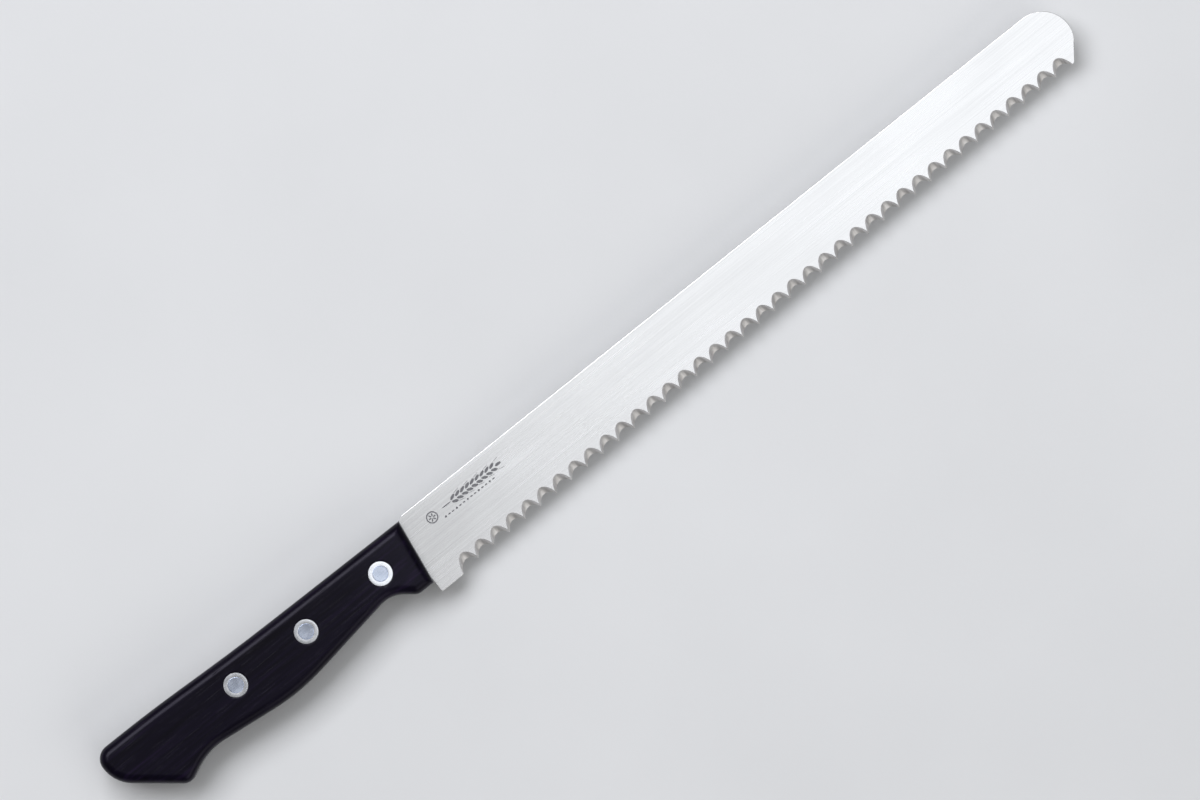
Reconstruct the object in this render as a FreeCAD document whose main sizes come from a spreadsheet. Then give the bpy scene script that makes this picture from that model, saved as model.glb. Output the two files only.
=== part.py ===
import FreeCAD, Part
import math
import os
import Sketcher

# A bread knife lying on its left side. The blade points along +X with its spine
# towards +Y and its ground right face up, and the origin is under the middle of the
# whole knife. Outlines are drawn from the heel: X = 0 at the heel corner, Y = 0 on
# the spine line. The body placements then carry every piece to the common origin.

# name, value in millimetres, degrees or a plain count, what it is
SIZES = [
    ("blade_length", 270, "heel corner to tip"),
    ("blade_thick", 1.8, "blade in front of the handle"),
    ("heel_height", 27.2, "spine to the underside of the heel"),
    ("heel_flat", 9.4, "plain stretch of edge behind the first scallop"),
    ("heel_round", 0.4, "round on the heel corner"),
    ("tooth_drop_heel", 26.15, "spine to the tooth points at the heel"),
    ("tooth_drop_tip", 21.45, "spine to the tooth points at the tip"),
    ("tooth_end", 263.7, "end of the toothed edge"),
    ("tip_round", 10.4, "round of the tip above its foremost point"),
    ("chin_drop", 13.75, "spine to where the underside of the tip turns back"),
    ("chin_round", 8.5, "round of the tip below its foremost point"),
    ("tip_corner_round", 1, "round between the tip and the toothed edge"),
    ("shoulder_run", 1.6, "length of the small rise from the handle to the spine"),
    ("shoulder_round", 1, "round at the top of that rise"),
    ("spine_ease", 0.25, "chamfer that eases the spine and the tip"),
    ("scallop_count", 39, "scallops in the edge"),
    ("scallop_pitch", 6.5, "tooth point to tooth point"),
    ("scallop_depth", 2.14, "tooth points to the top of a scallop, on the left face"),
    ("stone_radius", 4.9, "radius of the round stone that grinds a scallop"),
    ("stone_tilt", 35, "slope of that stone against the blade"),
    ("tang_thick", 1.6, "tang, relieved under the scales"),
    ("tang_overlap", 6, "how far the tang outline runs on inside the blade"),
    ("scale_thick", 7.6, "each handle scale"),
    ("scale_round", 3.2, "rounded outer edges of a scale"),
    ("taper_start", -24, "where the scale starts to thin towards the blade"),
    ("taper_drop", 1.8, "how much thinner the scale is at its front end"),
    ("rivet_head", 8, "diameter of a rivet head"),
    ("head_thick", 1.7, "thickness of a rivet head before it is ground flush"),
    ("rivet_shank", 6.2, "outer diameter of the tube half"),
    ("rivet_pin", 5.0, "diameter of the pin half"),
    ("tube_gap", 1.5, "from the end of the tube to the head of the pin half"),
    ("front_rivet_x", -11.5, "along the handle"),
    ("front_rivet_y", -10.4, "below the spine line"),
    ("middle_rivet_x", -41.5, "along the handle"),
    ("middle_rivet_y", -10.0, "below the spine line"),
    ("rear_rivet_x", -69.7, "along the handle"),
    ("rear_rivet_y", -9.3, "below the spine line"),
]

# The handle is straight runs with rounded corners. Each corner gives the place where
# two runs would meet, and the radius that rounds it: 0 leaves it sharp.
HANDLE_CORNERS = [
    # name, x, y, round
    ("front_top", 3.3, -0.95, 0),
    ("top_bend", -62, -0.25, 800),
    ("top_crest", -97, 1.35, 500),
    ("butt_top", -119.6, 1.35, 5),
    ("butt_low", -119.6, -9.65, 12),
    ("pommel", -100.6, -25, 4),
    ("hollow", -89.9, -20, 22),
    ("belly", -55.4, -24.15, 75),
    ("notch", -13.2, -17.6, 10),
    ("foot", -6.2, -23.2, 3.6),
    ("front_low", 0, -23.2, 0),
]

RIVETS = ["front", "middle", "rear"]
# How far a cut runs on outside the piece that it cuts, in millimetres.
SPARE = 1
# Lengths closer than this are the same when edges are looked for.
SLACK = 0.01
SHEET = "Sizes"
# Line ends and circle centres are numbered this way in a sketch.
START, END, CENTRE = 1, 2, 3
FULL_TURN = 360


class Size:
    """A number together with the sheet expression that it comes from."""

    def __init__(self, value, text):
        self.value = value
        self.text = text

    def joined(self, sign, other, value):
        return Size(value, f"({self.text} {sign} {as_size(other).text})")

    def __add__(self, other):
        return self.joined("+", other, self.value + as_size(other).value)

    def __sub__(self, other):
        return self.joined("-", other, self.value - as_size(other).value)

    def __mul__(self, other):
        return self.joined("*", other, self.value * as_size(other).value)

    def __truediv__(self, other):
        return self.joined("/", other, self.value / as_size(other).value)

    def __neg__(self):
        return Size(-self.value, f"(-{self.text})")


def as_size(value):
    """A plain number written the way the sheet's expressions write it."""
    if isinstance(value, Size):
        return value
    return Size(float(value), f"({float(value)!r})")


def sine(degrees):
    """The sine of an angle from the sheet."""
    return Size(math.sin(math.radians(degrees.value)), f"sin({degrees.text})")


def cosine(degrees):
    """The cosine of an angle from the sheet."""
    return Size(math.cos(math.radians(degrees.value)), f"cos({degrees.text})")


def fill_sheet(doc):
    """Writes every driving dimension to the sheet and returns them by name."""
    rows = list(SIZES)
    for name, x, y, radius in HANDLE_CORNERS:
        rows.append((f"{name}_x", x, f"handle corner {name}, along the handle"))
        rows.append((f"{name}_y", y, f"handle corner {name}, above the spine line"))
        rows.append((f"{name}_round", radius, f"handle corner {name}, its radius"))
    sheet = doc.addObject("Spreadsheet::Sheet", SHEET)
    sizes = {}
    for line, (name, value, meaning) in enumerate(rows, start=1):
        sheet.set(f"A{line}", name)
        sheet.set(f"B{line}", str(value))
        sheet.setAlias(f"B{line}", name)
        sheet.set(f"C{line}", meaning)
        sizes[name] = Size(float(value), f"{SHEET}.{name}")
    doc.recompute()
    return sizes


def bind(thing, path, size):
    """Binds a property of a document object to the sheet."""
    thing.setExpression(path, as_size(size).text)


def new_body(doc, name):
    """A body that will be written out under its own name."""
    body = doc.addObject("PartDesign::Body", name)
    body.Label = name
    return body


def new_sketch(body, plane, name):
    """A sketch on one of the body's own origin planes."""
    sketch = body.newObject("Sketcher::SketchObject", name)
    support = [f for f in body.Origin.OriginFeatures if f.Role == plane][0]
    sketch.AttachmentSupport = [(support, "")]
    sketch.MapMode = "FlatFace"
    return sketch


def hold(sketch, kind, geometry, point, size):
    """Dimensions one point or arc of a sketch and binds that dimension to the sheet."""
    size = as_size(size)
    if kind == "Radius":
        added = sketch.addConstraint(Sketcher.Constraint(kind, geometry, size.value))
    else:
        added = sketch.addConstraint(Sketcher.Constraint(kind, geometry, point, size.value))
    sketch.setExpression(f"Constraints[{added}]", size.text)


def hold_point(sketch, geometry, point, x, y):
    """Dimensions both coordinates of one point."""
    hold(sketch, "DistanceX", geometry, point, x)
    hold(sketch, "DistanceY", geometry, point, y)


def add_circle(sketch, x, y, radius):
    """A circle with its centre and radius bound to the sheet."""
    centre = FreeCAD.Vector(as_size(x).value, as_size(y).value, 0)
    circle = Part.Circle(centre, FreeCAD.Vector(0, 0, 1), as_size(radius).value)
    added = sketch.addGeometry(circle)
    hold(sketch, "Radius", added, None, radius)
    hold_point(sketch, added, CENTRE, x, y)


def corner_arc(before, corner, after, radius):
    """The arc that rounds a corner, and which of its ends comes first along the outline."""
    back = (before - corner).normalize()
    ahead = (after - corner).normalize()
    half_angle = back.getAngle(ahead) / 2
    reach = radius / math.tan(half_angle)
    middle = corner + (back + ahead).normalize() * (radius / math.sin(half_angle))
    entry = corner + back * reach - middle
    leave = corner + ahead * reach - middle
    turns_left = back.cross(ahead).z < 0
    first, last = (entry, leave) if turns_left else (leave, entry)
    circle = Part.Circle(middle, FreeCAD.Vector(0, 0, 1), radius)
    arc = Part.ArcOfCircle(circle, math.atan2(first.y, first.x), math.atan2(last.y, last.x))
    ends = (START, END) if turns_left else (END, START)
    return arc, middle + entry, middle + leave, ends


def draw_outline(sketch, corners):
    """Draws a closed outline through (x, y, round) corners, all bound to the sheet."""
    places = [FreeCAD.Vector(as_size(x).value, as_size(y).value, 0) for x, y, _ in corners]
    rounds = [as_size(r).value for _, _, r in corners]
    count = len(corners)
    arcs, entries, leaves, arc_ends = {}, list(places), list(places), {}
    for i in range(count):
        if rounds[i] > 0:
            arc, entry, leave, ends = corner_arc(
                places[i - 1], places[i], places[(i + 1) % count], rounds[i]
            )
            arcs[i] = sketch.addGeometry(arc)
            entries[i], leaves[i], arc_ends[i] = entry, leave, ends
    runs = [
        sketch.addGeometry(Part.LineSegment(leaves[i], entries[(i + 1) % count]))
        for i in range(count)
    ]
    for i, (x, y, radius) in enumerate(corners):
        arriving, leaving = runs[i - 1], runs[i]
        if i in arcs:
            entry_end, leave_end = arc_ends[i]
            join(sketch, "Tangent", arriving, END, arcs[i], entry_end)
            join(sketch, "Tangent", arcs[i], leave_end, leaving, START)
            mark = sketch.addGeometry(Part.Point(places[i]), True)
            hold_point(sketch, mark, START, x, y)
            sketch.addConstraint(Sketcher.Constraint("PointOnObject", mark, START, arriving))
            sketch.addConstraint(Sketcher.Constraint("PointOnObject", mark, START, leaving))
            hold(sketch, "Radius", arcs[i], None, radius)
        else:
            join(sketch, "Coincident", arriving, END, leaving, START)
            hold_point(sketch, leaving, START, x, y)


def join(sketch, kind, first, first_point, second, second_point):
    """Joins two ends of a sketch."""
    sketch.addConstraint(Sketcher.Constraint(kind, first, first_point, second, second_point))


def add_pad(body, sketch, name, length, midplane=False, downwards=False):
    """Thickens a sketch."""
    pad = body.newObject("PartDesign::Pad", name)
    pad.Profile = sketch
    bind(pad, "Length", length)
    pad.Midplane = midplane
    pad.Reversed = downwards


def add_cut(body, sketch, name, length=None, downwards=False):
    """Cuts a sketch through the whole body both ways, or one way to a depth."""
    body.Document.recompute()
    before = body.Shape.Volume
    cut = body.newObject("PartDesign::Pocket", name)
    cut.Profile = sketch
    if length is None:
        cut.Type = "ThroughAll"
        cut.Midplane = True
    else:
        cut.Type = "Length"
        bind(cut, "Length", length)
        cut.Reversed = not downwards
    body.Document.recompute()
    if not body.Shape.Volume < before:
        raise RuntimeError(f"{name} removes nothing from {body.Label}")
    return cut


def edges_named(shape, wanted):
    """The names of the edges of a shape that pass a test."""
    return [f"Edge{i}" for i, edge in enumerate(shape.Edges, start=1) if wanted(edge)]


def handle_corners(sizes):
    """The handle's outline, from the front of its top edge round by the butt."""
    return [
        (sizes[f"{name}_x"], sizes[f"{name}_y"], sizes[f"{name}_round"])
        for name, _, _, _ in HANDLE_CORNERS
    ]


def tang_corners(sizes):
    """The handle's outline, run on a little way inside the blade."""
    corners = handle_corners(sizes)
    for end in (0, -1):
        x, y, radius = corners[end]
        corners[end] = (x + sizes["tang_overlap"], y, radius)
    return corners


def blade_corners(sizes):
    """The blade blank before its scallops are ground."""
    spine = as_size(0)
    tip = sizes["blade_length"]
    heel_end = sizes["heel_flat"]
    return [
        (sizes["front_low_x"], sizes["front_low_y"], 0),
        (as_size(0), -sizes["heel_height"], sizes["heel_round"]),
        (heel_end, -sizes["heel_height"], 0),
        (heel_end, -sizes["tooth_drop_heel"], 0),
        (sizes["tooth_end"], -sizes["tooth_drop_tip"], sizes["tip_corner_round"]),
        (tip, -sizes["chin_drop"], sizes["chin_round"]),
        (tip, spine, sizes["tip_round"]),
        (sizes["front_top_x"] + sizes["shoulder_run"], spine, sizes["shoulder_round"]),
        (sizes["front_top_x"], sizes["front_top_y"], 0),
    ]


def rivet_place(sizes, name):
    """Where a rivet goes through the handle."""
    return sizes[f"{name}_rivet_x"], sizes[f"{name}_rivet_y"]


def grind_scallops(body, sizes):
    """Grinds the row of scallops from the right face, along the slope of the toothed edge.

    A round stone, sloping down through the blade towards the edge, cuts each scallop. It
    leaves a ground crescent on the right face and the scallop's outline on the left one.
    """
    heel_x, heel_y = sizes["heel_flat"], -sizes["tooth_drop_heel"]
    tip_x, tip_y = sizes["tooth_end"], -sizes["tooth_drop_tip"]
    line = new_sketch(body, "XY_Plane", "tooth_line")
    ends = [FreeCAD.Vector(heel_x.value, heel_y.value, 0), FreeCAD.Vector(tip_x.value, tip_y.value, 0)]
    edge_line = line.addGeometry(Part.LineSegment(*ends))
    hold_point(line, edge_line, START, heel_x, heel_y)
    hold_point(line, edge_line, END, tip_x, tip_y)

    tilt = sizes["stone_tilt"]
    half_pitch = sizes["scallop_pitch"] / 2
    half_thick = sizes["blade_thick"] / 2
    tooth_y = heel_y + half_pitch * (tip_y - heel_y) / (tip_x - heel_x)
    crescent = sizes["blade_thick"] * cosine(tilt) / sine(tilt)
    crown_y = tooth_y + sizes["scallop_depth"] + crescent
    axis_y = crown_y - sizes["stone_radius"] * sine(tilt)
    axis_z = half_thick + sizes["stone_radius"] * cosine(tilt)
    stone = new_sketch(body, "XZ_Plane", "scallop_stone")
    stone.AttachmentOffset = FreeCAD.Placement(
        FreeCAD.Vector(), FreeCAD.Rotation(FreeCAD.Vector(1, 0, 0), tilt.value)
    )
    bind(stone, "AttachmentOffset.Base.x", heel_x + half_pitch)
    bind(stone, "AttachmentOffset.Base.y", axis_z)
    bind(stone, "AttachmentOffset.Base.z", -axis_y)
    bind(stone, "AttachmentOffset.Rotation.Angle", tilt)
    add_circle(stone, 0, 0, sizes["stone_radius"])
    scallop = add_cut(body, stone, "first_scallop")

    row = body.newObject("PartDesign::LinearPattern", "scallop_row")
    row.Originals = [scallop]
    row.Direction = (line, ["Edge1"])
    row.Mode = "Spacing"
    bind(row, "Offset", sizes["scallop_pitch"])
    bind(row, "Occurrences", sizes["scallop_count"])
    body.Tip = row


def make_blade(doc, sizes):
    """The steel blank: tang and blade in one, drilled, eased and serrated."""
    body = new_body(doc, "blade")
    tang = new_sketch(body, "XY_Plane", "tang_outline")
    draw_outline(tang, tang_corners(sizes))
    add_pad(body, tang, "tang", sizes["tang_thick"], midplane=True)
    blank = new_sketch(body, "XY_Plane", "blade_outline")
    draw_outline(blank, blade_corners(sizes))
    add_pad(body, blank, "blade_blank", sizes["blade_thick"], midplane=True)
    doc.recompute()

    holes = new_sketch(body, "XY_Plane", "rivet_holes")
    for name in RIVETS:
        add_circle(holes, *rivet_place(sizes, name), sizes["rivet_shank"] / 2)
    add_cut(body, holes, "tang_holes")

    drilled = body.Tip
    spine_edges = edges_named(drilled.Shape, lambda edge: on_spine(edge, sizes))
    ease = body.newObject("PartDesign::Chamfer", "eased_spine")
    ease.Base = (drilled, spine_edges)
    bind(ease, "Size", sizes["spine_ease"])
    grind_scallops(body, sizes)
    place(body, sizes, as_size(0), as_size(0), mid_height(sizes))
    return body


def on_spine(edge, sizes):
    """Says whether an edge is one of the two long edges of the spine."""
    box = edge.BoundBox
    on_line = max(abs(box.YMin), abs(box.YMax)) < SLACK
    along = box.XLength > sizes["blade_length"].value / 2
    return on_line and along and box.ZLength < SLACK


def bounds_outer_face(edge, sizes, side):
    """Says whether an edge runs round a scale's outer face, tapered front included."""
    box = edge.BoundBox
    nearest = box.ZMin if side > 0 else -box.ZMax
    thinnest = sizes["scale_thick"].value - sizes["taper_drop"].value
    start = sizes["taper_start"].value
    taper_line = box.XLength < SLACK and abs(box.XMin - start) < SLACK
    return nearest > thinnest - SLACK and not taper_line


def taper_cut(body, sizes, side, name, axis_x, inner_z):
    """Thins the front of the handle towards the blade in one long gentle curve.

    axis_x and inner_z say where the body's own origin is: how far along the handle,
    and how far under the inner face of the scale.
    """
    start_x = sizes["taper_start"] - axis_x
    front_x = sizes["front_top_x"] + SPARE - axis_x
    full = (inner_z + sizes["scale_thick"]) * side
    thin = (inner_z + sizes["scale_thick"] - sizes["taper_drop"]) * side
    above = (inner_z + sizes["scale_thick"] + SPARE) * side
    run = front_x.value - start_x.value
    drop = sizes["taper_drop"].value
    radius = (run**2 + drop**2) / (2 * drop)
    sweep = math.asin(run / radius)
    centre = FreeCAD.Vector(start_x.value, full.value - side * radius, 0)
    circle = Part.Circle(centre, FreeCAD.Vector(0, 0, 1), radius)
    top = math.pi / 2
    if side > 0:
        arc = Part.ArcOfCircle(circle, top - sweep, top)
        arc_front, arc_rear = START, END
    else:
        arc = Part.ArcOfCircle(circle, -top, sweep - top)
        arc_front, arc_rear = END, START

    sketch = new_sketch(body, "XZ_Plane", f"{name}_curve")
    curve = sketch.addGeometry(arc)
    corners = [(start_x, full), (start_x, above), (front_x, above), (front_x, thin)]
    points = [FreeCAD.Vector(x.value, z.value, 0) for x, z in corners]
    runs = [sketch.addGeometry(Part.LineSegment(points[i], points[i + 1])) for i in range(3)]
    join(sketch, "Coincident", curve, arc_rear, runs[0], START)
    join(sketch, "Coincident", runs[0], END, runs[1], START)
    join(sketch, "Coincident", runs[1], END, runs[2], START)
    join(sketch, "Coincident", runs[2], END, curve, arc_front)
    for i in range(3):
        hold_point(sketch, runs[i], START, *corners[i])
    hold_point(sketch, runs[2], END, *corners[3])
    hold(sketch, "DistanceX", curve, CENTRE, start_x)
    add_cut(body, sketch, name)


def make_scale(doc, sizes, name, side):
    """One handle scale, drawn from its inner face outwards: side is 1 for up, -1 for down."""
    body = new_body(doc, name)
    outline = new_sketch(body, "XY_Plane", f"{name}_outline")
    draw_outline(outline, handle_corners(sizes))
    add_pad(body, outline, f"{name}_board", sizes["scale_thick"], downwards=side < 0)
    doc.recompute()
    taper_cut(body, sizes, side, f"{name}_taper", as_size(0), as_size(0))

    board = body.Tip
    outer_edges = edges_named(board.Shape, lambda edge: bounds_outer_face(edge, sizes, side))
    rounding = body.newObject("PartDesign::Fillet", f"{name}_rounding")
    rounding.Base = (board, outer_edges)
    bind(rounding, "Radius", sizes["scale_round"])
    doc.recompute()

    holes = new_sketch(body, "XY_Plane", f"{name}_holes")
    seats = new_sketch(body, "XY_Plane", f"{name}_seats")
    for rivet in RIVETS:
        add_circle(holes, *rivet_place(sizes, rivet), sizes["rivet_shank"] / 2)
        add_circle(seats, *rivet_place(sizes, rivet), sizes["rivet_head"] / 2)
    add_cut(body, holes, f"{name}_drilling")
    bind(seats, "AttachmentOffset.Base.z", (sizes["scale_thick"] - sizes["head_thick"]) * side)
    add_cut(body, seats, f"{name}_head_seats", sizes["head_thick"] + SPARE, downwards=side < 0)

    place(body, sizes, as_size(0), as_size(0), mid_height(sizes) + sizes["tang_thick"] / 2 * side)
    return body


def mid_height(sizes):
    """Height of the blade's middle plane above the table."""
    return sizes["scale_thick"] + sizes["tang_thick"] / 2


def turn(body, corners, name):
    """Turns a closed half section about the body's own Z axis."""
    section = new_sketch(body, "XZ_Plane", f"{name}_section")
    draw_outline(section, [(x, z, 0) for x, z in corners])
    turned = body.newObject("PartDesign::Revolution", f"{name}_turned")
    turned.Profile = section
    turned.ReferenceAxis = (section, ["V_Axis"])
    turned.Angle = FULL_TURN


def make_rivet_tube(doc, sizes, rivet):
    """Tube half: a ring head on the right scale and a shank through scale and tang."""
    name = f"{rivet}_rivet_tube"
    body = new_body(doc, name)
    bore = sizes["rivet_pin"] / 2
    shank = sizes["rivet_shank"] / 2
    head = sizes["rivet_head"] / 2
    top = mid_height(sizes)
    seat = top - sizes["head_thick"]
    end = sizes["tube_gap"] - seat
    section = [(bore, end), (shank, end), (shank, seat), (head, seat), (head, top), (bore, top)]
    turn(body, section, name)
    finish_rivet(body, sizes, rivet, [1])
    return body


def make_rivet_pin(doc, sizes, rivet):
    """Pin half: a plain head on the left scale and a pin pressed right through the tube."""
    name = f"{rivet}_rivet_pin"
    body = new_body(doc, name)
    axis = as_size(0)
    pin = sizes["rivet_pin"] / 2
    shank = sizes["rivet_shank"] / 2
    head = sizes["rivet_head"] / 2
    top = mid_height(sizes)
    seat = sizes["head_thick"] - top
    collar = seat + sizes["tube_gap"]
    section = [
        (axis, -top),
        (head, -top),
        (head, seat),
        (shank, seat),
        (shank, collar),
        (pin, collar),
        (pin, top),
        (axis, top),
    ]
    turn(body, section, name)
    finish_rivet(body, sizes, rivet, [1, -1])
    return body


def finish_rivet(body, sizes, rivet, sides):
    """Puts a rivet in its hole. The front one is ground down with the tapered scales."""
    x, y = rivet_place(sizes, rivet)
    if rivet == "front":
        for side in sides:
            name = f"{body.Label}_ground_{'right' if side > 0 else 'left'}"
            taper_cut(body, sizes, side, name, x, sizes["tang_thick"] / 2)
    place(body, sizes, x, y, mid_height(sizes))


def place(body, sizes, x, y, z):
    """Puts a body, drawn from the heel and the spine line, at the knife's own origin."""
    middle_x = (sizes["blade_length"] + sizes["butt_top_x"]) / 2
    middle_y = (sizes["butt_top_y"] - sizes["heel_height"]) / 2
    bind(body, "Placement.Base.x", x - middle_x)
    bind(body, "Placement.Base.y", y - middle_y)
    bind(body, "Placement.Base.z", z)


def check(doc, bodies):
    """Stops if any object failed, or a body isn't one sound solid."""
    for thing in doc.Objects:
        if "Invalid" in thing.State or "Error" in thing.State:
            raise RuntimeError(f"{thing.Label} failed: {thing.State}")
    for body in bodies:
        shape = body.Shape
        if shape.isNull() or not shape.isValid() or len(shape.Solids) != 1:
            raise RuntimeError(f"{body.Label} isn't one valid solid")


def main():
    doc = FreeCAD.newDocument("bread_knife")
    sizes = fill_sheet(doc)
    bodies = [make_blade(doc, sizes)]
    bodies.append(make_scale(doc, sizes, "scale_right", 1))
    bodies.append(make_scale(doc, sizes, "scale_left", -1))
    for rivet in RIVETS:
        bodies.append(make_rivet_tube(doc, sizes, rivet))
        bodies.append(make_rivet_pin(doc, sizes, rivet))
    doc.recompute()
    check(doc, bodies)
    os.makedirs("parts", exist_ok=True)
    for body in bodies:
        body.Shape.exportStep(os.path.join("parts", f"{body.Label}.step"))
        box = body.Shape.BoundBox
        print(body.Label, round(body.Shape.Volume, 1), box)


main()
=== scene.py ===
import math

import bmesh
import bpy
from mathutils import Matrix, Vector


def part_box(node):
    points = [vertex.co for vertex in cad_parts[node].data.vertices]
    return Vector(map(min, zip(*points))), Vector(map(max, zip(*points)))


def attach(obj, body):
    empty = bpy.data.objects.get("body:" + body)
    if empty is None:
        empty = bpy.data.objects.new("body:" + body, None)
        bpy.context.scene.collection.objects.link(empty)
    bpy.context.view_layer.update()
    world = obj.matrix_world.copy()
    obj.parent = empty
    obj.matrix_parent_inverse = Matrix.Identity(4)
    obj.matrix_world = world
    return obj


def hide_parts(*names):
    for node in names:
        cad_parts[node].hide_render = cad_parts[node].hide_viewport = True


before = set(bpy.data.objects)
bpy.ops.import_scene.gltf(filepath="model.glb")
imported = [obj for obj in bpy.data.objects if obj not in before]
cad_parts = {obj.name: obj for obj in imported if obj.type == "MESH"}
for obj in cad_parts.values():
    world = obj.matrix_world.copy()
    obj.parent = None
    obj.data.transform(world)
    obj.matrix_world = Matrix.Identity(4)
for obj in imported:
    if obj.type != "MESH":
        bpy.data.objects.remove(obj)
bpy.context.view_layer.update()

# A bread knife lying on its left side: one serrated steel blank with a full tang,
# two dark laminated-wood scales and three two-part rivets. Everything is in metres.
# Outlines are written in millimetres from the heel: X = 0 at the heel corner,
# Y = 0 on the spine line, as the knife is drawn on the bench.

MM = 0.001
BODY = "root"
UP = Vector((0, 0, 1))
# Where the top edge of handle and blade meet.
TOP_JOINT = (3.3, -0.95)

# Blade, in millimetres.
BLADE_LENGTH = 270
BLADE_THICK = 1.8
TANG_THICK = 1.6
TANG_INSIDE_BLADE = 6
SPINE_EASE = 0.25
SPINE_EASE_STEPS = 3
EASED_DOWN_TO = -20
SHOULDER_TOP_X = 4.9
HEEL_TOP_Y = -23.2
HEEL_BOTTOM_Y = -27.2
TOOTH_ROW_START = (9.4, -26.15)
TOOTH_ROW_END = (263.7, -21.45)
BLADE_CORNERS = [
    # x, y, round
    (0, HEEL_TOP_Y, 0),
    (0, HEEL_BOTTOM_Y, 0.4),
    (TOOTH_ROW_START[0], HEEL_BOTTOM_Y, 0),
    (*TOOTH_ROW_START, 0),
    (*TOOTH_ROW_END, 1),
    (BLADE_LENGTH, -13.75, 8.5),
    (BLADE_LENGTH, 0, 10.4),
    (SHOULDER_TOP_X, 0, 1),
    (*TOP_JOINT, 0),
]

# Scallops, and the stone that hollows one, in millimetres: half its width along the blade,
# through its thickness and from edge to spine, and how it leans.
SCALLOPS = 39
SCALLOP_PITCH = 6.5
SCALLOP_DEPTH = 2.14
CRESCENT_HEIGHT = 2.57
STONE_HALF_SIZES = (7.8, 5.18, 47.7)
STONE_LEAN = math.radians(15.88)
STONE_BELOW_CROWN = 45.47
STONE_UNDER_FACE = 12
STONE_SEGMENTS = 72
STONE_RINGS = 96
STONE_ROWS = 3

# Handle, in millimetres.
SCALE_THICK = 7.6
HALF_THICK = SCALE_THICK + TANG_THICK / 2
SCALE_ROUND = 3.2
SCALE_ROUND_STEPS = 10
TAPER_START_X = -24
TAPER_END_X = 4.3
TAPER_DROP = 1.8
TAPER_STEPS = 24
SEAT_EASE = 0.4
SEAT_EASE_STEPS = 2
SEAT_SLACK = 0.08 * MM
CREST_Y = 1.35
BUTT_X = -119.6
HANDLE_CORNERS = [
    # x, y, round
    (*TOP_JOINT, 0),
    (-62, -0.25, 800),
    (-97, CREST_Y, 500),
    (BUTT_X, CREST_Y, 5),
    (BUTT_X, -9.65, 12),
    (-100.6, -25, 4),
    (-89.9, -20, 22),
    (-55.4, -24.15, 75),
    (-13.2, -17.6, 10),
    (-6.2, HEEL_TOP_Y, 3.6),
    (0, HEEL_TOP_Y, 0),
]

# Rivets, in millimetres.
RIVETS = {"front": (-11.5, -10.4), "middle": (-41.5, -10.0), "rear": (-69.7, -9.3)}
HEAD_RADIUS = 4
HEAD_THICK = 1.7
SHANK_RADIUS = 3.1
PIN_RADIUS = 2.5
TUBE_GAP = 1.5
TURNING_STEPS = 96

# Drawing and welding.
ARC_STEP = math.radians(3)
FEWEST_ARC_STEPS = 3
WELD = 0.0005 * MM
SPARE = 1
SMOOTH_UNDER = math.radians(32)
FULL_TURN = 2 * math.pi
# How much of a face's normal points up: more than this on a flat face, less on a wall.
FLAT_ABOVE = 0.9
WALL_BELOW = 0.2

# Where the heel, the spine line and the blade's middle plane are in the knife's frame.
blade_low, blade_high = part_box("blade")
scale_low, scale_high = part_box("scale_right")
HEEL_X = blade_high[0] - BLADE_LENGTH * MM
SPINE_Y = scale_high[1] - CREST_Y * MM
MIDDLE_Z = (blade_low[2] + blade_high[2]) / 2
FACE_Z = MIDDLE_Z + BLADE_THICK / 2 * MM
TANG_Z = MIDDLE_Z + TANG_THICK / 2 * MM
TOP_Z = scale_high[2]


def from_heel(x, y, height):
    """A place in the knife's frame, from millimetres ahead of the heel and above the spine."""
    return Vector((HEEL_X + x * MM, SPINE_Y + y * MM, height))


# ---------------------------------------------------------------- bench tools


def clear_bench():
    """Leaves nothing selected, so that the next operator acts on its own piece alone."""
    if bpy.context.object and bpy.context.object.mode == "EDIT":
        bpy.ops.object.mode_set(mode="OBJECT")
    bpy.ops.object.select_all(action="DESELECT")


def take(*pieces):
    """Selects these pieces, the last one active."""
    clear_bench()
    for piece in pieces:
        piece.select_set(True)
    bpy.context.view_layer.objects.active = pieces[-1]


def open_mesh(piece):
    """Goes into the piece's edit mode with all of it selected."""
    take(piece)
    bpy.ops.object.mode_set(mode="EDIT")
    bpy.ops.mesh.select_all(action="SELECT")


def close_mesh():
    """Turns the faces outwards and leaves edit mode."""
    bpy.ops.mesh.select_all(action="SELECT")
    bpy.ops.mesh.remove_doubles(threshold=WELD)
    bpy.ops.mesh.normals_make_consistent(inside=False)
    bpy.ops.object.mode_set(mode="OBJECT")


def pick_edges(piece, wanted):
    """Selects the edges that pass a test, and nothing else."""
    bpy.ops.mesh.select_mode(type="EDGE")
    bpy.ops.mesh.select_all(action="DESELECT")
    mesh = bmesh.from_edit_mesh(piece.data)
    for edge in mesh.edges:
        if wanted(edge):
            edge.select_set(True)
    bmesh.update_edit_mesh(piece.data)


def settle(piece, name):
    """Gives a primitive its name and moves its place into its mesh."""
    take(piece)
    bpy.ops.object.transform_apply(location=True, rotation=True, scale=True)
    piece.name = name
    piece.data.name = name
    return piece


def join(pieces, name):
    """Makes several pieces one mesh."""
    take(*pieces)
    bpy.ops.object.join()
    return settle(bpy.context.object, name)


def copy_piece(piece, name):
    """A second piece with a mesh of its own."""
    twin = piece.copy()
    twin.data = piece.data.copy()
    twin.name = name
    twin.data.name = name
    bpy.context.scene.collection.objects.link(twin)
    return twin


def modify(piece, kind, **settings):
    """Adds a modifier and applies it."""
    take(piece)
    modifier = piece.modifiers.new(kind.title(), kind)
    for setting, value in settings.items():
        setattr(modifier, setting, value)
    bpy.ops.object.modifier_apply(modifier=modifier.name)


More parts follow.
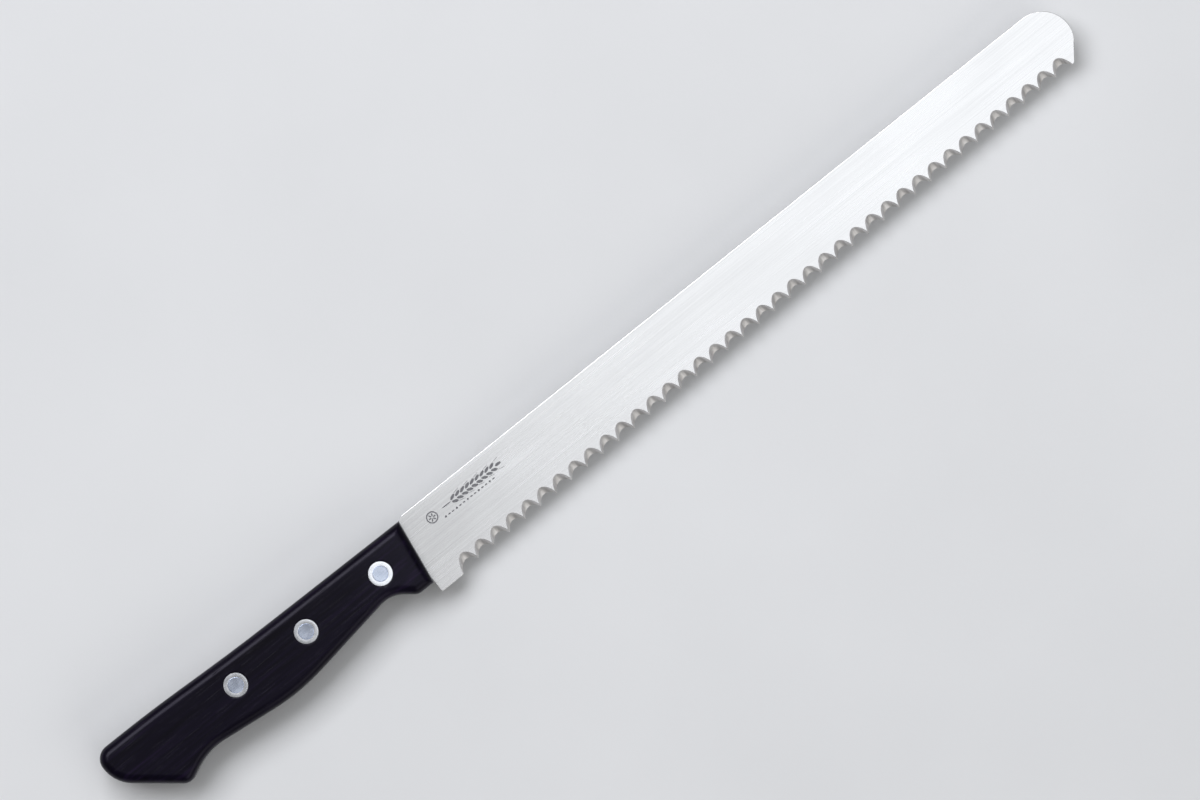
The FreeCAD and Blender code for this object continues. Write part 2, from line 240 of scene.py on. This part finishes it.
def carve(piece, tool, operation="DIFFERENCE", overlaps=False):
    """Cuts a tool's shape out of a piece, or adds it on. The cut takes the tool's finish.

    overlaps says that the tool is several shapes that run into each other.
    """
    modify(
        piece,
        "BOOLEAN",
        object=tool,
        operation=operation,
        solver="EXACT",
        material_mode="TRANSFER",
        use_self=overlaps,
    )
    if not piece.data.polygons:
        raise RuntimeError(f"cutting {piece.name} left nothing of it")
    bpy.data.objects.remove(tool)


def smooth(piece):
    """Smooths the rounds, keeps the corners, and lets the broad faces stay flat."""
    take(piece)
    bpy.ops.object.shade_smooth_by_angle(angle=SMOOTH_UNDER)
    modify(piece, "WEIGHTED_NORMAL", keep_sharp=True)


# ---------------------------------------------------------------- drawing


class Pen:
    """Draws an outline as one vertex pushed from place to place and spun round corners."""

    def __init__(self, start):
        clear_bench()
        bpy.ops.mesh.primitive_plane_add(size=MM, location=start)
        self.piece = bpy.context.object
        settle(self.piece, "outline")
        bpy.ops.object.mode_set(mode="EDIT")
        bpy.ops.mesh.select_mode(type="VERT")
        bpy.ops.mesh.select_all(action="SELECT")
        bpy.ops.mesh.merge(type="CENTER")
        self.start = start.copy()
        self.place = start.copy()

    def push(self, place):
        """A straight run to a place."""
        if (place - self.place).length < WELD:
            return
        bpy.ops.mesh.extrude_vertices_move(TRANSFORM_OT_translate={"value": place - self.place})
        self.place = place.copy()

    def turn(self, centre, angle, leave):
        """A round about a centre, ending at a place. The spin operator counts clockwise."""
        steps = max(FEWEST_ARC_STEPS, round(abs(angle) / ARC_STEP))
        bpy.ops.mesh.spin(steps=steps, angle=-angle, center=centre, axis=UP)
        self.place = leave.copy()

    def close(self, name):
        """Joins the end to the start and fills the outline."""
        self.push(self.start)
        bpy.ops.mesh.select_all(action="SELECT")
        bpy.ops.mesh.remove_doubles(threshold=WELD)
        bpy.ops.mesh.edge_face_add()
        return self.lift(name)

    def lift(self, name):
        """Leaves the line as it is drawn."""
        bpy.ops.object.mode_set(mode="OBJECT")
        self.piece.name = name
        self.piece.data.name = name
        return self.piece


def corner_round(before, corner, after, radius):
    """Where a rounded corner starts and ends, its centre, and how far it turns to the left."""
    back = (before - corner).normalized()
    ahead = (after - corner).normalized()
    half = back.angle(ahead) / 2
    reach = radius / math.tan(half)
    centre = corner + (back + ahead).normalized() * (radius / math.sin(half))
    turned = math.pi - 2 * half
    if back.cross(ahead).z > 0:
        turned = -turned
    return corner + back * reach, corner + ahead * reach, centre, turned


def draw_outline(name, corners, height):
    """Draws a closed flat outline through (x, y, round) corners."""
    places = [from_heel(x, y, height) for x, y, _ in corners]
    count = len(corners)
    rounds = {
        i: corner_round(places[i - 1], places[i], places[(i + 1) % count], corners[i][2] * MM)
        for i in range(count)
        if corners[i][2] > 0
    }
    pen = Pen(rounds[0][0] if 0 in rounds else places[0])
    for i in range(count):
        if i in rounds:
            entry, leave, centre, turned = rounds[i]
            pen.push(entry)
            pen.turn(centre, turned, leave)
        else:
            pen.push(places[i])
    return pen.close(name)


def thicken(piece, way):
    """Pushes a flat outline out into a closed solid."""
    open_mesh(piece)
    bpy.ops.mesh.extrude_region_move(TRANSFORM_OT_translate={"value": way})
    close_mesh()
    return piece


def drill_rods(radius, low, high):
    """Three rods, one where each rivet goes, to drill or seat it with."""
    rods = []
    for x, y in RIVETS.values():
        clear_bench()
        bpy.ops.mesh.primitive_cylinder_add(
            vertices=TURNING_STEPS,
            radius=radius * MM,
            depth=high - low,
            location=from_heel(x, y, (low + high) / 2),
        )
        rods.append(bpy.context.object)
    return join(rods, "rods")


# ---------------------------------------------------------------- finishes


class Value:
    """A number that varies over a surface. Sums written with it become Math nodes."""

    def __init__(self, finish, socket):
        self.finish = finish
        self.socket = socket

    def sum(self, operation, first, second):
        """One Math node on two values or numbers."""
        return self.finish.node("Math", {"operation": operation}, {0: first, 1: second})

    def __add__(self, other):
        return self.sum("ADD", self, other)

    def __radd__(self, other):
        return self.sum("ADD", other, self)

    def __sub__(self, other):
        return self.sum("SUBTRACT", self, other)

    def __rsub__(self, other):
        return self.sum("SUBTRACT", other, self)

    def __mul__(self, other):
        return self.sum("MULTIPLY", self, other)

    def __rmul__(self, other):
        return self.sum("MULTIPLY", other, self)


# Colours as (place on the ramp, (red, green, blue)), and depths of relief in metres.
STEEL_TONES = [(0, (0.775, 0.77, 0.768)), (1, (0.875, 0.87, 0.868))]
STEEL_LINE_DEPTH = 0.0000016
HOLLOW_TONES = [
    (0, (0.50, 0.485, 0.475)),
    (0.5, (0.64, 0.625, 0.615)),
    (1, (0.80, 0.795, 0.79)),
]
STONE_MARK_DEPTH = 0.000008
ETCH_TONES = [(0.3, (0.10, 0.10, 0.11)), (0.7, (0.26, 0.26, 0.27))]
ETCH_PIT_DEPTH = 0.00001
WOOD_TONES = [
    (0, (0.0008, 0.0005, 0.0016)),
    (0.5, (0.0022, 0.0013, 0.0060)),
    (1, (0.011, 0.0055, 0.021)),
]
PORE_TONE = (0.0012, 0.0012, 0.0018)
PORE_DEPTH = 0.00002
WOOD_GLEAM = 0.16
WOOD_GLEAM_TINT = (0.86, 0.82, 1.0, 1)
RING_TONES = [(0, (0.82, 0.84, 0.88)), (1, (0.94, 0.95, 0.98))]
RING_ROUGH = 0.19
PIN_TONES = [(0, (0.46, 0.51, 0.62)), (1, (0.64, 0.69, 0.80))]
PIN_ROUGH = 0.22
BELT_SCRATCH_DEPTH = 0.000004
TABLE_TONES = [(0.3, (0.70, 0.705, 0.71)), (0.7, (0.735, 0.74, 0.745))]
TABLE_TOOTH_DEPTH = 0.00002


class Finish:
    """One material and the nodes that make it."""

    def __init__(self, name):
        self.material = bpy.data.materials.new(name)
        self.material.use_nodes = True
        self.tree = self.material.node_tree
        self.tree.nodes.clear()

    def node(self, kind, settings=None, inputs=None, output=0):
        """Adds a node: its settings first, then the values or links of its sockets."""
        made = self.tree.nodes.new(f"ShaderNode{kind}")
        for setting, value in (settings or {}).items():
            if setting == "stops":
                self.set_stops(made.color_ramp, value)
            else:
                setattr(made, setting, value)
        for socket, value in (inputs or {}).items():
            if isinstance(value, Value):
                self.tree.links.new(value.socket, made.inputs[socket])
            else:
                made.inputs[socket].default_value = value
        return Value(self, made.outputs[output]) if made.outputs else made

    def set_stops(self, ramp, stops):
        """Places a ramp's colours."""
        while len(ramp.elements) < len(stops):
            ramp.elements.new(1)
        for element, (place, colour) in zip(ramp.elements, stops):
            element.position = place
            element.color = (*colour, 1)

    def where(self, stretch, offset=(0, 0, 0)):
        """The place on the piece, stretched: the larger the number, the finer the pattern."""
        place = self.node("TexCoord", output="Object")
        return self.node(
            "Mapping", {"vector_type": "POINT"}, {"Vector": place, "Scale": stretch, "Location": offset}
        )

    def noise(self, stretch, detail=3, rough=0.5, offset=(0, 0, 0)):
        """Grain or mottle, in patches per metre along X, Y and Z."""
        place = self.where(stretch, offset)
        return self.node(
            "TexNoise", inputs={"Vector": place, "Scale": 1, "Detail": detail, "Roughness": rough}
        )

    def spread(self, value, low, high, new_low, new_high):
        """Stretches a range of values to another one."""
        return self.node(
            "MapRange",
            {"clamp": True},
            {"Value": value, "From Min": low, "From Max": high, "To Min": new_low, "To Max": new_high},
        )

    def ramp(self, value, stops):
        """Colours for the values from 0 to 1."""
        return self.node("ValToRGB", {"stops": stops}, {"Fac": value})

    def blend(self, amount, first, second):
        """One colour over another. Plain colours are given as three numbers."""
        first, second = (c if isinstance(c, Value) else (*c, 1) for c in (first, second))
        return self.node(
            "Mix", {"data_type": "RGBA", "blend_type": "MIX"}, {0: amount, 6: first, 7: second}, output=2
        )

    def bump(self, height, depth):
        """Relief of a real depth in metres."""
        return self.node("Bump", inputs={"Height": height, "Distance": depth, "Strength": 1})

    def surface(self, **inputs):
        """Ends the material in one shader."""
        sockets = {name.replace("_", " "): value for name, value in inputs.items()}
        shader = self.node("BsdfPrincipled", inputs=sockets)
        self.node("OutputMaterial", inputs={"Surface": shader})
        return self.material


def satin_steel():
    """Blade steel, ground lengthwise and lightly brushed."""
    finish = Finish("satin_steel")
    lines = finish.noise((14, 2600, 2600), detail=4, rough=0.6)
    bands = finish.noise((5, 420, 420), detail=2)
    cloud = finish.noise((28, 60, 60), detail=3, offset=(3, 1, 2))
    tone = finish.spread(lines * 0.6 + bands * 0.12 + cloud * 0.28, 0.35, 0.65, 0, 1)
    colour = finish.ramp(tone, STEEL_TONES)
    rough = 0.20 + lines * 0.08 + cloud * 0.05
    relief = finish.bump(lines, STEEL_LINE_DEPTH)
    return finish.surface(Base_Color=colour, Metallic=1, Roughness=rough, Normal=relief)


def ground_hollow():
    """The hollows of the scallops, left as the stone cut them across the edge."""
    finish = Finish("ground_hollow")
    marks = finish.noise((2100, 110, 110), detail=4, rough=0.65)
    burn = finish.noise((160, 240, 240), detail=2, offset=(1, 4, 2))
    tone = finish.spread(marks * 0.7 + burn * 0.3, 0.32, 0.68, 0, 1)
    colour = finish.ramp(tone, HOLLOW_TONES)
    rough = 0.34 + marks * 0.2
    relief = finish.bump(marks, STONE_MARK_DEPTH)
    return finish.surface(Base_Color=colour, Metallic=1, Roughness=rough, Normal=relief)


def etched_steel():
    """The dull grey floor of the etched mark."""
    finish = Finish("etched_steel")
    pits = finish.noise((3200, 3200, 3200), detail=3, rough=0.7)
    colour = finish.ramp(pits, ETCH_TONES)
    relief = finish.bump(pits, ETCH_PIT_DEPTH)
    return finish.surface(Base_Color=colour, Metallic=0.5, Roughness=0.55 + pits * 0.2, Normal=relief)


def laminated_wood():
    """Resin-filled laminated hardwood, near black, with the plies' long grain just showing."""
    finish = Finish("laminated_wood")
    drift = finish.noise((9, 40, 40), detail=2)
    grain = finish.noise((26, 900, 900), detail=5, rough=0.62)
    pores = finish.noise((70, 2600, 2600), detail=3, rough=0.7, offset=(2, 5, 1))
    plies = finish.noise((3, 190, 620), detail=2, offset=(7, 3, 4))
    tone = finish.spread(grain * 0.5 + plies * 0.3 + drift * 0.2, 0.36, 0.66, 0, 1)
    colour = finish.ramp(tone, WOOD_TONES)
    open_pores = finish.spread(pores, 0.6, 0.72, 0, 1)
    colour = finish.blend(open_pores * 0.7, colour, PORE_TONE)
    rough = 0.25 + grain * 0.12 + open_pores * 0.2
    relief = finish.bump(grain * 0.4 - open_pores, PORE_DEPTH)
    return finish.surface(
        Base_Color=colour,
        Roughness=rough,
        Normal=relief,
        Specular_IOR_Level=WOOD_GLEAM,
        Specular_Tint=WOOD_GLEAM_TINT,
    )


def rivet_steel(name, tones, rough):
    """A rivet end, rubbed down flush with the scales on a fine belt."""
    finish = Finish(name)
    scratches = finish.noise((90, 3400, 3400), detail=4, rough=0.6)
    wear = finish.noise((420, 420, 420), detail=3, offset=(5, 2, 8))
    tone = finish.spread(scratches * 0.6 + wear * 0.4, 0.34, 0.66, 0, 1)
    colour = finish.ramp(tone, tones)
    relief = finish.bump(scratches, BELT_SCRATCH_DEPTH)
    return finish.surface(Base_Color=colour, Metallic=1, Roughness=rough + wear * 0.1, Normal=relief)


def pale_table():
    """The plain pale surface under the knife."""
    finish = Finish("pale_table")
    mottle = finish.noise((9, 9, 9), detail=4)
    tooth = finish.noise((900, 900, 900), detail=2)
    colour = finish.ramp(mottle, TABLE_TONES)
    relief = finish.bump(tooth, TABLE_TOOTH_DEPTH)
    return finish.surface(Base_Color=colour, Roughness=0.85, Normal=relief)


def paint(piece, material):
    """Gives a piece one finish all over."""
    piece.data.materials.clear()
    piece.data.materials.append(material)
    return piece


# ---------------------------------------------------------------- the etched mark

# In millimetres. A spot's size is half its length and half its width.
MARK_DEPTH = 0.03
GRAIN_SIZE = (1.15, 0.48)
GRAIN_LEAN = math.radians(24)
GRAIN_SPREAD = 0.78
GRAIN_STEP = 2.0
AWN_SIZE = (1.2, 0.07)
EAR_LINE_Y = -6.4
EAR_START_X = 21.5
EAR_GRAINS = 9
STEM_START_X = 16.6
STEM_HALF_WIDTH = 0.2
BADGE_PLACE = (12.4, -6.7)
BADGE_RADIUS = 2.0
BADGE_RIM = 0.42
PETALS = 6
PETAL_SIZE = (0.55, 0.24)
PETAL_OUT = 0.85
RULE_Y = -9.2
RULE_START_X = 16.0
RULE_STEP = 1.5
RULE_BEADS = 14
BEAD_RADIUS = 0.38
RULE_DASH = (0.5, 0.24)
LEAF_POINTS = 14
DASH_POINTS = 8
RING_POINTS = 48
AWN_EVERY = 2
BEAD_EVERY = 3


def etch_spot(x, y, half_sizes, turned=0.0, points=LEAF_POINTS):
    """One flat spot of the mark: a round, drawn out long and turned."""
    clear_bench()
    bpy.ops.mesh.primitive_circle_add(
        vertices=points,
        radius=MM,
        fill_type="NGON",
        location=from_heel(x, y, FACE_Z - MARK_DEPTH * MM),
        rotation=(0, 0, turned),
    )
    spot = bpy.context.object
    spot.scale = (*half_sizes, 1)
    return settle(spot, "spot")


def etch_ear():
    """An ear of wheat lying along the blade, its grains in pairs and one at its end."""
    spots = []
    reach = GRAIN_SIZE[0] + AWN_SIZE[0]
    for pair in range(EAR_GRAINS):
        along = EAR_START_X + pair * GRAIN_STEP
        for side in (1, -1):
            spots.append(
                etch_spot(along, EAR_LINE_Y + side * GRAIN_SPREAD, GRAIN_SIZE, side * GRAIN_LEAN)
            )
            if pair % AWN_EVERY == 0:
                tip = along + reach * math.cos(GRAIN_LEAN)
                out = GRAIN_SPREAD + reach * math.sin(GRAIN_LEAN)
                spots.append(etch_spot(tip, EAR_LINE_Y + side * out, AWN_SIZE, side * GRAIN_LEAN / 2))
    spots.append(etch_spot(EAR_START_X + EAR_GRAINS * GRAIN_STEP, EAR_LINE_Y, GRAIN_SIZE))
    return spots


def etch_badge():
    """A thin ring round a small flower."""
    x, y = BADGE_PLACE
    ring = etch_spot(x, y, (BADGE_RADIUS, BADGE_RADIUS), points=RING_POINTS)
    open_mesh(ring)
    bpy.ops.mesh.select_mode(type="FACE")
    bpy.ops.mesh.select_all(action="SELECT")
    bpy.ops.mesh.inset(thickness=BADGE_RIM * MM)
    bpy.ops.mesh.delete(type="FACE")
    bpy.ops.object.mode_set(mode="OBJECT")
    petals = []
    for petal in range(PETALS):
        way = FULL_TURN * petal / PETALS
        place = (x + PETAL_OUT * math.cos(way), y + PETAL_OUT * math.sin(way))
        petals.append(etch_spot(*place, PETAL_SIZE, way))
    return [ring] + petals


def mark_tool():
    """The whole mark as a shallow tool: a badge, an ear of wheat and a beaded rule."""
    spots = etch_badge() + etch_ear()
    stem_end = EAR_START_X - GRAIN_SIZE[0]
    half_stem = (stem_end - STEM_START_X) / 2
    stem_sizes = (half_stem, STEM_HALF_WIDTH)
    spots.append(etch_spot(STEM_START_X + half_stem, EAR_LINE_Y, stem_sizes, points=DASH_POINTS))
    for bead in range(RULE_BEADS):
        x = RULE_START_X + bead * RULE_STEP
        sizes = RULE_DASH if bead % BEAD_EVERY else (BEAD_RADIUS, BEAD_RADIUS)
        spots.append(etch_spot(x, RULE_Y, sizes, points=DASH_POINTS))
    tool = join(spots, "mark_tool")
    return thicken(tool, Vector((0, 0, 2 * MARK_DEPTH * MM)))


# ---------------------------------------------------------------- blade


def scallop_stones(first):
    """A row of stones, one for every third scallop, so that no two of them touch."""
    start, end = Vector(TOOTH_ROW_START), Vector(TOOTH_ROW_END)
    pitch = (end - start).normalized() * SCALLOP_PITCH
    tooth = start + pitch * (first + 0.5)
    crown_y = tooth.y + SCALLOP_DEPTH + CRESCENT_HEIGHT
    clear_bench()
    bpy.ops.mesh.primitive_uv_sphere_add(
        segments=STONE_SEGMENTS,
        ring_count=STONE_RINGS,
        radius=MM,
        location=from_heel(tooth.x, crown_y - STONE_BELOW_CROWN, FACE_Z - STONE_UNDER_FACE * MM),
        rotation=(STONE_LEAN - math.pi / 2, 0, 0),
        scale=STONE_HALF_SIZES,
    )
    stones = settle(bpy.context.object, "stones")
    modify(
        stones,
        "ARRAY",
        count=SCALLOPS // STONE_ROWS,
        use_relative_offset=False,
        use_constant_offset=True,
        constant_offset_displace=(STONE_ROWS * pitch.x * MM, STONE_ROWS * pitch.y * MM, 0),
    )
    return stones


def on_eased_edge(edge):
    """Says whether an edge runs along the spine, round the tip or round the heel's corner."""
    a, b = (vertex.co for vertex in edge.verts)
    level = abs(a.z - b.z) < WELD
    past_shoulder = min(a.x, b.x) > from_heel(SHOULDER_TOP_X, 0, 0).x - WELD
    high = min(a.y, b.y) > from_heel(0, EASED_DOWN_TO, 0).y
    behind_teeth = min(a.x, b.x) < from_heel(TOOTH_ROW_START[0], 0, 0).x - WELD
    under_handle = max(a.y, b.y) < from_heel(0, HEEL_TOP_Y, 0).y + WELD
    return level and ((past_shoulder and high) or (behind_teeth and under_handle))


def make_blade(steel, hollow, etched):
    """One steel blank: blade and tang, eased along the spine, etched, drilled and serrated."""
    blade = draw_outline("blade_steel_blank", BLADE_CORNERS, FACE_Z - BLADE_THICK * MM)
    thicken(blade, Vector((0, 0, BLADE_THICK * MM)))
    paint(blade, steel)
    open_mesh(blade)
    pick_edges(blade, on_eased_edge)
    bpy.ops.mesh.bevel(
        offset=SPINE_EASE * MM, segments=SPINE_EASE_STEPS, affect="EDGES", clamp_overlap=False
    )
    close_mesh()
    carve(blade, paint(mark_tool(), etched), overlaps=True)

    for first in range(STONE_ROWS):
        carve(blade, paint(scallop_stones(first), hollow))

    tang_corners = list(HANDLE_CORNERS)
    for end in (0, -1):
        x, y, radius = tang_corners[end]
        tang_corners[end] = (x + TANG_INSIDE_BLADE, y, radius)
    tang = draw_outline("tang", tang_corners, TANG_Z - TANG_THICK * MM)
    thicken(tang, Vector((0, 0, TANG_THICK * MM)))
    carve(blade, paint(tang, steel), "UNION")
    carve(blade, paint(drill_rods(SHANK_RADIUS, 0, TOP_Z), steel))
    smooth(blade)
    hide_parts("blade")
    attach(blade, BODY)


# ---------------------------------------------------------------- handle


def taper_radius():
    """Radius of the long curve that thins the front of the handle, in millimetres."""
    run = TAPER_END_X - TAPER_START_X
    return (run**2 + TAPER_DROP**2) / (2 * TAPER_DROP)


def taper_drop(x):
    """How much lower the handle's face is at a place in the knife's frame, in metres."""
    along = (x - HEEL_X) / MM - TAPER_START_X
    if along <= 0:
        return 0.0
    radius = taper_radius()
    return (radius - math.sqrt(radius**2 - along**2)) * MM


def bring_down(piece, past):
    """Lowers what lies further than this from the middle plane, along the front's long curve."""
    for vertex in piece.data.vertices:
        above = vertex.co.z - MIDDLE_Z
        if abs(above) > past * MM:
            vertex.co.z -= math.copysign(taper_drop(vertex.co.x), above)


def between_face_and_wall(edge):
    """Says whether an edge parts the scale's outer face from a wall."""
    slopes = [face.normal.z for face in edge.link_faces]
    return max(slopes) > FLAT_ABOVE and min(abs(slope) for slope in slopes) < WALL_BELOW


def round_a_seat(edge):
    """Says whether an edge is the rim of a rivet's seat in the scale's outer face."""
    if not between_face_and_wall(edge):
        return False
    reach = HEAD_RADIUS * MM
    for x, y in RIVETS.values():
        centre = from_heel(x, y, 0).xy
        if all(abs((vertex.co.xy - centre).length - reach) < SEAT_SLACK for vertex in edge.verts):
            return True
    return False


def make_scales(wood):
    """Both handle scales. The left one is the right one turned over."""
    right = draw_outline("scale_right_wood", HANDLE_CORNERS, TANG_Z)
    thicken(right, Vector((0, 0, SCALE_THICK * MM)))
    paint(right, wood)
    open_mesh(right)
    pick_edges(right, between_face_and_wall)
    bpy.ops.mesh.bevel(
        offset=SCALE_ROUND * MM, segments=SCALE_ROUND_STEPS, affect="EDGES", clamp_overlap=False
    )
    close_mesh()
    carve(right, paint(drill_rods(SHANK_RADIUS, 0, TOP_Z), wood))
    carve(right, paint(drill_rods(HEAD_RADIUS, TOP_Z - HEAD_THICK * MM, TOP_Z + SPARE * MM), wood))
    open_mesh(right)
    pick_edges(right, round_a_seat)
    bpy.ops.mesh.bevel(
        offset=SEAT_EASE * MM, segments=SEAT_EASE_STEPS, affect="EDGES", clamp_overlap=False
    )
    for step in range(TAPER_STEPS):
        x = TAPER_START_X + (TAPER_END_X - TAPER_START_X) * step / TAPER_STEPS
        bpy.ops.mesh.select_all(action="SELECT")
        bpy.ops.mesh.bisect(plane_co=from_heel(x, 0, 0), plane_no=(1, 0, 0))
    close_mesh()
    bring_down(right, TANG_THICK)

    left = copy_piece(right, "scale_left_wood")
    over = Matrix.Translation((0, 0, 2 * MIDDLE_Z)) @ Matrix.Scale(-1, 4, UP)
    left.data.transform(over)
    open_mesh(left)
    close_mesh()
    for piece, node in ((right, "scale_right"), (left, "scale_left")):
        smooth(piece)
        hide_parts(node)
        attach(piece, BODY)


# ---------------------------------------------------------------- rivets

# In millimetres: the eased rims, how far the heads are crowned, and how far the pin's
# end is dished, half way in and at its middle.
EDGE_EASE = 0.1
RING_CROWN = 0.03
HEAD_CROWN_LEFT = 0.01
DISH_HALF_WAY = 0.07
DISH_MIDDLE = 0.084


def turn_piece(name, section):
    """Turns a half section, as (radius, height in millimetres above the middle plane).

    A solid piece's section starts and ends on the axis, and a tube's comes back round.
    """
    places = [Vector((r * MM, 0, MIDDLE_Z + z * MM)) for r, z in section]
    pen = Pen(places[0])
    for place in places[1:]:
        pen.push(place)
    if section[0][0] > 0:
        pen.push(places[0])
    piece = pen.lift(name)
    open_mesh(piece)
    bpy.ops.mesh.spin(steps=TURNING_STEPS, angle=FULL_TURN, center=(0, 0, 0), axis=UP)
    close_mesh()
    return piece


def rivet_tube_section():
    """The tube half: a crowned ring head and a shank with an open bore."""
    top = HALF_THICK
    seat = top - HEAD_THICK
    middle = (HEAD_RADIUS + PIN_RADIUS) / 2
    return [
        (PIN_RADIUS, TUBE_GAP - seat),
        (SHANK_RADIUS, TUBE_GAP - seat),
        (SHANK_RADIUS, seat),
        (HEAD_RADIUS, seat),
        (HEAD_RADIUS, top - RING_CROWN - EDGE_EASE),
        (HEAD_RADIUS - EDGE_EASE, top - RING_CROWN),
        (middle, top),
        (PIN_RADIUS + EDGE_EASE, top - RING_CROWN),
        (PIN_RADIUS, top - RING_CROWN - EDGE_EASE),
    ]


def rivet_pin_section():
    """The pin half: a plain crowned head and a pin whose far end is a little dished."""
    top = HALF_THICK
    seat = HEAD_THICK - top
    return [
        (0, -top),
        (HEAD_RADIUS / 2, HEAD_CROWN_LEFT - top),
        (HEAD_RADIUS - EDGE_EASE, RING_CROWN - top),
        (HEAD_RADIUS, RING_CROWN + EDGE_EASE - top),
        (HEAD_RADIUS, seat),
        (SHANK_RADIUS, seat),
        (SHANK_RADIUS, seat + TUBE_GAP),
        (PIN_RADIUS, seat + TUBE_GAP),
        (PIN_RADIUS, top - RING_CROWN - 2 * EDGE_EASE),
        (PIN_RADIUS - EDGE_EASE, top - RING_CROWN - EDGE_EASE / 2),
        (PIN_RADIUS / 2, top - RING_CROWN - DISH_HALF_WAY),
        (0, top - RING_CROWN - DISH_MIDDLE),
    ]


def fit_rivet(piece, x, y):
    """Puts a turned half in its hole and brings its ends down with the tapered scales."""
    piece.data.transform(Matrix.Translation(from_heel(x, y, 0)))
    bring_down(piece, HALF_THICK - HEAD_THICK / 2)


def make_rivets(ring_steel, pin_steel):
    """Three rivets, each a tube half and a pin half, turned once and copied."""
    patterns = {
        "tube": (paint(turn_piece("tube_pattern", rivet_tube_section()), ring_steel), "rivet_ring"),
        "pin": (paint(turn_piece("pin_pattern", rivet_pin_section()), pin_steel), "rivet_pin"),
    }
    for rivet, (x, y) in RIVETS.items():
        for half, (pattern, slot) in patterns.items():
            piece = copy_piece(pattern, f"{rivet}_rivet_{half}_turned")
            fit_rivet(piece, x, y)
            smooth(piece)
            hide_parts(f"{rivet}_rivet_{half}")
            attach(piece, BODY)
    for pattern, _ in patterns.values():
        bpy.data.objects.remove(pattern)


# ---------------------------------------------------------------- studio

# The lens and its sensor in millimetres, the rest in metres.
PICTURE_TURN = math.radians(38.68)
LENS = 200
SENSOR = 36
VIEW_WIDTH = 0.384
VIEW_CENTRE = (0.0026, 0.0020)
TABLE_SIZE = 6
TABLE_GAP = 0.0002
SOFT_BOXES = [
    # name, place, aim, size, watts, colour
    ("overhead", (0.70, 0, 1.60), (0.70, 0, 0), (1.6, 1.8), 8.8, (0.93, 0.965, 1.0)),
    ("spine_side", (-0.10, 1.00, 1.66), (0, 0, 0), (1.7, 1.0), 30, (0.95, 0.96, 1.0)),
    ("edge_side", (0.3, -1.6, 1.10), (0, 0, 0), (1.8, 1.0), 8, (1.0, 0.99, 0.97)),
]
ROOM_COLOUR = (0.90, 0.88, 0.87, 1)
ROOM_STRENGTH = 0.16


def area_light(name, place, aim, size, watts, colour):
    """A soft box."""
    light = bpy.data.lights.new(name, "AREA")
    light.shape = "RECTANGLE"
    light.size, light.size_y = size
    light.energy = watts
    light.color = colour
    lamp = bpy.data.objects.new(name, light)
    lamp.location = place
    lamp.rotation_euler = (Vector(aim) - Vector(place)).to_track_quat("-Z", "Y").to_euler()
    bpy.context.scene.collection.objects.link(lamp)


def set_studio(table_finish):
    """A pale table, soft boxes overhead and beside the spine, and the camera straight above."""
    clear_bench()
    bpy.ops.mesh.primitive_plane_add(size=TABLE_SIZE, location=(0, 0, -TABLE_GAP))
    table = settle(bpy.context.object, "table")
    paint(table, table_finish)

    for soft_box in SOFT_BOXES:
        area_light(*soft_box)

    world = bpy.data.worlds.new("room")
    world.use_nodes = True
    background = world.node_tree.nodes["Background"]
    background.inputs["Color"].default_value = ROOM_COLOUR
    background.inputs["Strength"].default_value = ROOM_STRENGTH
    bpy.context.scene.world = world

    camera = bpy.data.cameras.new("camera")
    camera.lens = LENS
    camera.sensor_width = SENSOR
    holder = bpy.data.objects.new("camera", camera)
    holder.location = (*VIEW_CENTRE, FACE_Z + VIEW_WIDTH * LENS / SENSOR)
    holder.rotation_euler = (0, 0, -PICTURE_TURN)
    bpy.context.scene.collection.objects.link(holder)
    bpy.context.scene.camera = holder
    bpy.context.scene.view_settings.view_transform = "Standard"


make_blade(satin_steel(), ground_hollow(), etched_steel())
make_scales(laminated_wood())
make_rivets(
    rivet_steel("rivet_ring_steel", RING_TONES, RING_ROUGH),
    rivet_steel("rivet_pin_steel", PIN_TONES, PIN_ROUGH),
)
set_studio(pale_table())
